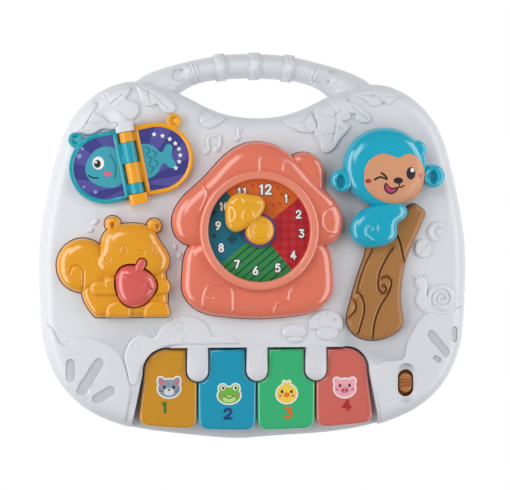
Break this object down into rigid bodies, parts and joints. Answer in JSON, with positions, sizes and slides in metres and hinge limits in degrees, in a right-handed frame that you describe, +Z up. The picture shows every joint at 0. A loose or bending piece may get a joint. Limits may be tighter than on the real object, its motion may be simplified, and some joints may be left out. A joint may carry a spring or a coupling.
{
  "type": "musical activity table",
  "caption": "Toddler's play board on legs: carry handle, clock with a turning pointer, flip book, rocking monkey, acorn button and piano keys.",
  "frame": {"origin": "middle of the bounding box, at floor level", "axes": "+Z up; +Y from the keys towards the carry handle, as the picture's top edge; +X to the right seen from above"},
  "size_m": [0.3322, 0.3012, 0.2685],
  "materials": {
    "shell_white": "gloss, cool white",
    "under_white": "satin, cool white",
    "house_coral": "gloss",
    "dial_print": "printed film, four colours",
    "ring_purple": "gloss",
    "pointer_yellow": "gloss",
    "clip_white": "moulded",
    "trunk_brown": "gloss",
    "monkey_blue": "gloss",
    "face_peach": "gloss, printed features",
    "pivot_white": "moulded",
    "squirrel_amber": "gloss",
    "acorn_coral": "gloss",
    "silicone": "moulded",
    "leaf_teal": "gloss",
    "leaf_amber": "gloss",
    "picture": "printed film",
    "steel": "drawn",
    "screw_steel": "plated",
    "board_green": "solder mask",
    "knob_brown": "satin",
    "switch_metal": "plated",
    "speaker_black": "moulded",
    "battery": "plain sleeve",
    "contact_steel": "nickel plated",
    "plug_white": "gloss",
    "key_amber": "gloss",
    "key_blue": "gloss",
    "key_green": "gloss",
    "key_coral": "gloss",
    "leg_white": "satin",
    "foot_rubber": "moulded"
  },
  "bodies": {
    "board": {"top_shell": "shell_white", "bottom_shell": "under_white", "handle_plugs": "plug_white", "handle_screws": "screw_steel", "house_cover": "house_coral", "clock_dial": "dial_print", "tree_trunk": "trunk_brown", "squirrel_cover": "squirrel_amber", "acorn_dome": "silicone", "button_board": "board_green", "hinge_pin": "steel", "hinge_bracket": "leaf_amber", "key_axle": "steel", "circuit_board": "board_green", "switch_body": "switch_metal", "speaker": "speaker_black", "batteries": "battery", "battery_contacts": "contact_steel", "battery_door": "under_white", "door_screw": "screw_steel", "shell_screws": "screw_steel", "key_dome_1": "silicone", "key_dome_2": "silicone", "key_dome_3": "silicone", "key_dome_4": "silicone", "leg_1": "leg_white", "foot_1": "foot_rubber", "leg_2": "leg_white", "foot_2": "foot_rubber", "leg_3": "leg_white", "foot_3": "foot_rubber", "leg_4": "leg_white", "foot_4": "foot_rubber"},
    "pointer": {"clock_pointer": "pointer_yellow", "clock_hub_ring": "ring_purple", "pointer_clip": "clip_white"},
    "monkey": {"monkey_figure": "monkey_blue", "monkey_face": "face_peach", "monkey_pivot": "pivot_white"},
    "left_leaf": {"book_left_leaf": "leaf_teal", "book_left_picture": "picture"},
    "right_leaf": {"book_right_leaf": "leaf_amber", "book_right_picture": "picture"},
    "acorn": {"acorn_button": "acorn_coral"},
    "key_left": {"key_1": "key_amber"},
    "key_mid_left": {"key_2": "key_blue"},
    "key_mid_right": {"key_3": "key_green"},
    "key_right": {"key_4": "key_coral"},
    "switch": {"switch_knob": "knob_brown"}
  },
  "joints": [
    {"name": "pointer_turn", "type": "hinge", "parent": "board", "child": "pointer", "pos_m": [0, 0.01065, 0.258], "axis": [0, 0, 1], "continuous": true},
    {"name": "monkey_rock", "type": "hinge", "parent": "board", "child": "monkey", "pos_m": [0.0877, 0.01265, 0.258], "axis": [0, 0, 1], "range_deg": [-10, 0]},
    {"name": "left_leaf_turn", "type": "hinge", "parent": "board", "child": "left_leaf", "pos_m": [-0.0966, 0.06175, 0.2526], "axis": [-0.1959, 0.9806, 0], "range_deg": [0, 178]},
    {"name": "right_leaf_turn", "type": "hinge", "parent": "board", "child": "right_leaf", "pos_m": [-0.0966, 0.06175, 0.2526], "axis": [0.1959, -0.9806, 0], "range_deg": [0, 178]},
    {"name": "acorn_press", "type": "slide", "parent": "board", "child": "acorn", "axis": [0, 0, -1], "range_m": [0, 0.0024], "stiffness_N_per_m": 400, "springref_m": -0.0012, "deforming": ["acorn_dome"]},
    {"name": "key_left_press", "type": "hinge", "parent": "board", "child": "key_left", "pos_m": [0, -0.07085, 0.238], "axis": [1, 0, 0], "range_deg": [0, 3.18], "stiffness_Nm_per_rad": 0.8, "springref_deg": -2.29, "deforming": ["key_dome_1"]},
    {"name": "key_mid_left_press", "type": "hinge", "parent": "board", "child": "key_mid_left", "pos_m": [0, -0.07085, 0.238], "axis": [1, 0, 0], "range_deg": [0, 3.18], "stiffness_Nm_per_rad": 0.8, "springref_deg": -2.29, "deforming": ["key_dome_2"]},
    {"name": "key_mid_right_press", "type": "hinge", "parent": "board", "child": "key_mid_right", "pos_m": [0, -0.07085, 0.238], "axis": [1, 0, 0], "range_deg": [0, 3.18], "stiffness_Nm_per_rad": 0.8, "springref_deg": -2.29, "deforming": ["key_dome_3"]},
    {"name": "key_right_press", "type": "hinge", "parent": "board", "child": "key_right", "pos_m": [0, -0.07085, 0.238], "axis": [1, 0, 0], "range_deg": [0, 3.18], "stiffness_Nm_per_rad": 0.8, "springref_deg": -2.29, "deforming": ["key_dome_4"]},
    {"name": "switch_slide", "type": "slide", "parent": "board", "child": "switch", "axis": [0, 1, 0], "range_m": [-0.0025, 0.0025]}
  ]
}
